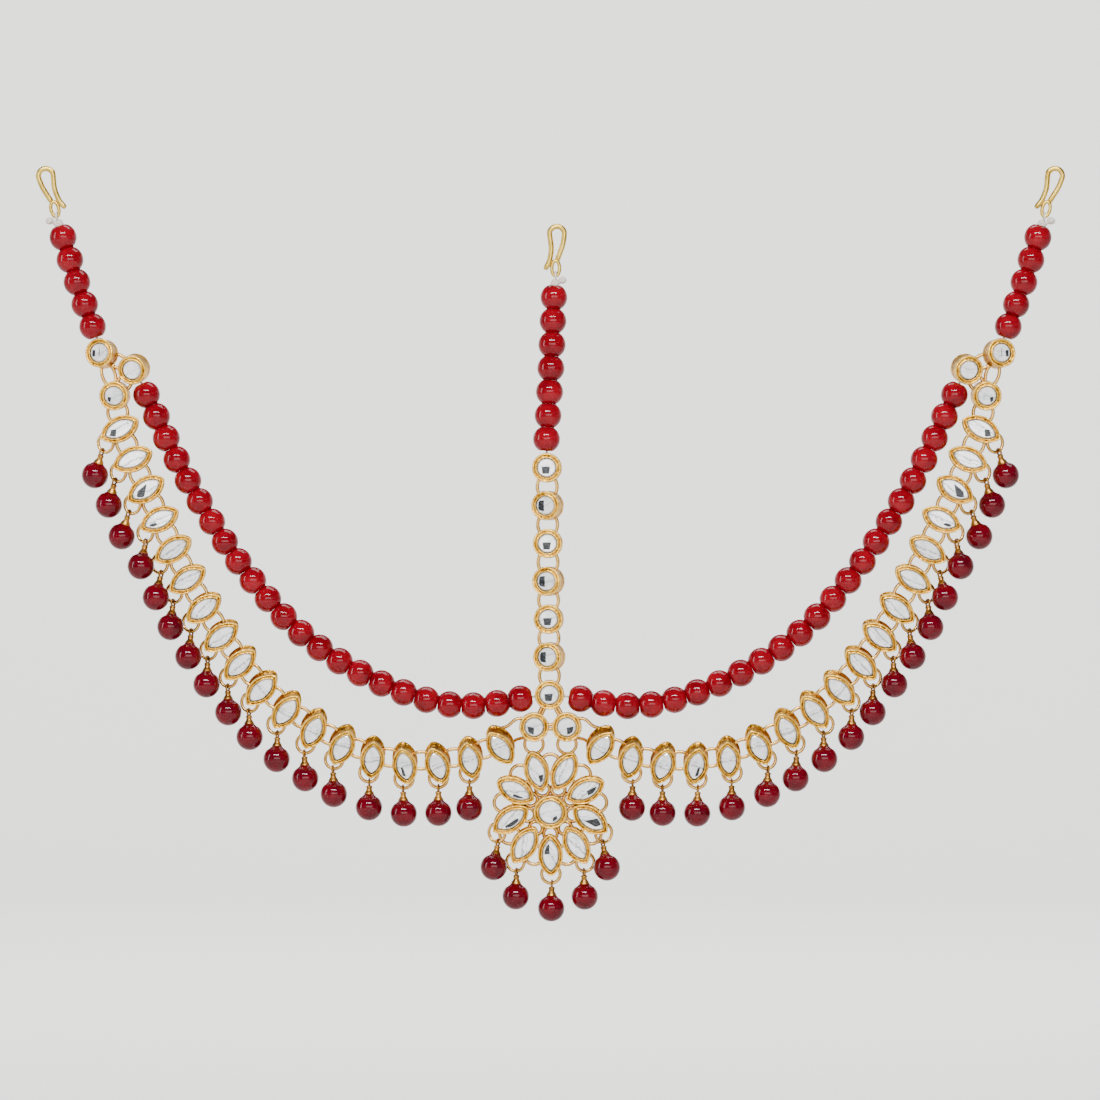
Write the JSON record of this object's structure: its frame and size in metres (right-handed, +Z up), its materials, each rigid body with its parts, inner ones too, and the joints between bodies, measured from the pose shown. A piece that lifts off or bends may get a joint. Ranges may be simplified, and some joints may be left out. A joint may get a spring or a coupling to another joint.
{
  "type": "matha patti",
  "caption": "Bridal head chain held up by three hair hooks: a beaded swag and a fringed band of foil-backed stone settings down each side, a centre chain, and a hinged rosette.",
  "frame": {"origin": "the inside of the centre hook's bow, where the headpiece hangs", "axes": "+X to the viewer's right, +Y to the back (the wearer's head), +Z up; the stones face -Y"},
  "size_m": [0.2364, 0.0119, 0.1733],
  "materials": {
    "gold_and_stones": "gold-plated cups and wire, set with silvery foil-backed glass stones",
    "hook_wire": "pale gold-plated round wire",
    "red_glass_beads": "deep red polished glass on white thread",
    "dark_red_glass_drop": "dark red polished glass ball under a gold cap"
  },
  "bodies": {
    "headpiece": {"centre_bead_string": "red_glass_beads", "centre_chain": "gold_and_stones", "centre_hook": "hook_wire", "left_band": "gold_and_stones", "left_drop_01": "dark_red_glass_drop", "left_drop_02": "dark_red_glass_drop", "left_drop_03": "dark_red_glass_drop", "left_drop_04": "dark_red_glass_drop", "left_drop_05": "dark_red_glass_drop", "left_drop_06": "dark_red_glass_drop", "left_drop_07": "dark_red_glass_drop", "left_drop_08": "dark_red_glass_drop", "left_drop_09": "dark_red_glass_drop", "left_drop_10": "dark_red_glass_drop", "left_drop_11": "dark_red_glass_drop", "left_drop_12": "dark_red_glass_drop", "left_drop_13": "dark_red_glass_drop", "left_drop_14": "dark_red_glass_drop", "left_drop_15": "dark_red_glass_drop", "left_drop_16": "dark_red_glass_drop", "left_drop_17": "dark_red_glass_drop", "left_end_bead_string": "red_glass_beads", "left_hook": "hook_wire", "left_swag_bead_string": "red_glass_beads", "right_band": "gold_and_stones", "right_drop_01": "dark_red_glass_drop", "right_drop_02": "dark_red_glass_drop", "right_drop_03": "dark_red_glass_drop", "right_drop_04": "dark_red_glass_drop", "right_drop_05": "dark_red_glass_drop", "right_drop_06": "dark_red_glass_drop", "right_drop_07": "dark_red_glass_drop", "right_drop_08": "dark_red_glass_drop", "right_drop_09": "dark_red_glass_drop", "right_drop_10": "dark_red_glass_drop", "right_drop_11": "dark_red_glass_drop", "right_drop_12": "dark_red_glass_drop", "right_drop_13": "dark_red_glass_drop", "right_drop_14": "dark_red_glass_drop", "right_drop_15": "dark_red_glass_drop", "right_drop_16": "dark_red_glass_drop", "right_drop_17": "dark_red_glass_drop", "right_end_bead_string": "red_glass_beads", "right_hook": "hook_wire", "right_swag_bead_string": "red_glass_beads"},
    "rosette": {"rosette": "gold_and_stones", "rosette_drop_1": "dark_red_glass_drop", "rosette_drop_2": "dark_red_glass_drop", "rosette_drop_3": "dark_red_glass_drop", "rosette_drop_4": "dark_red_glass_drop", "rosette_drop_5": "dark_red_glass_drop"}
  },
  "joints": [
    {"name": "rosette_swing", "type": "hinge", "parent": "headpiece", "child": "rosette", "pos_m": [-0.0015, 0.0027, -0.11645], "axis": [1, 0, 0], "range_deg": [-12, 75]}
  ]
}
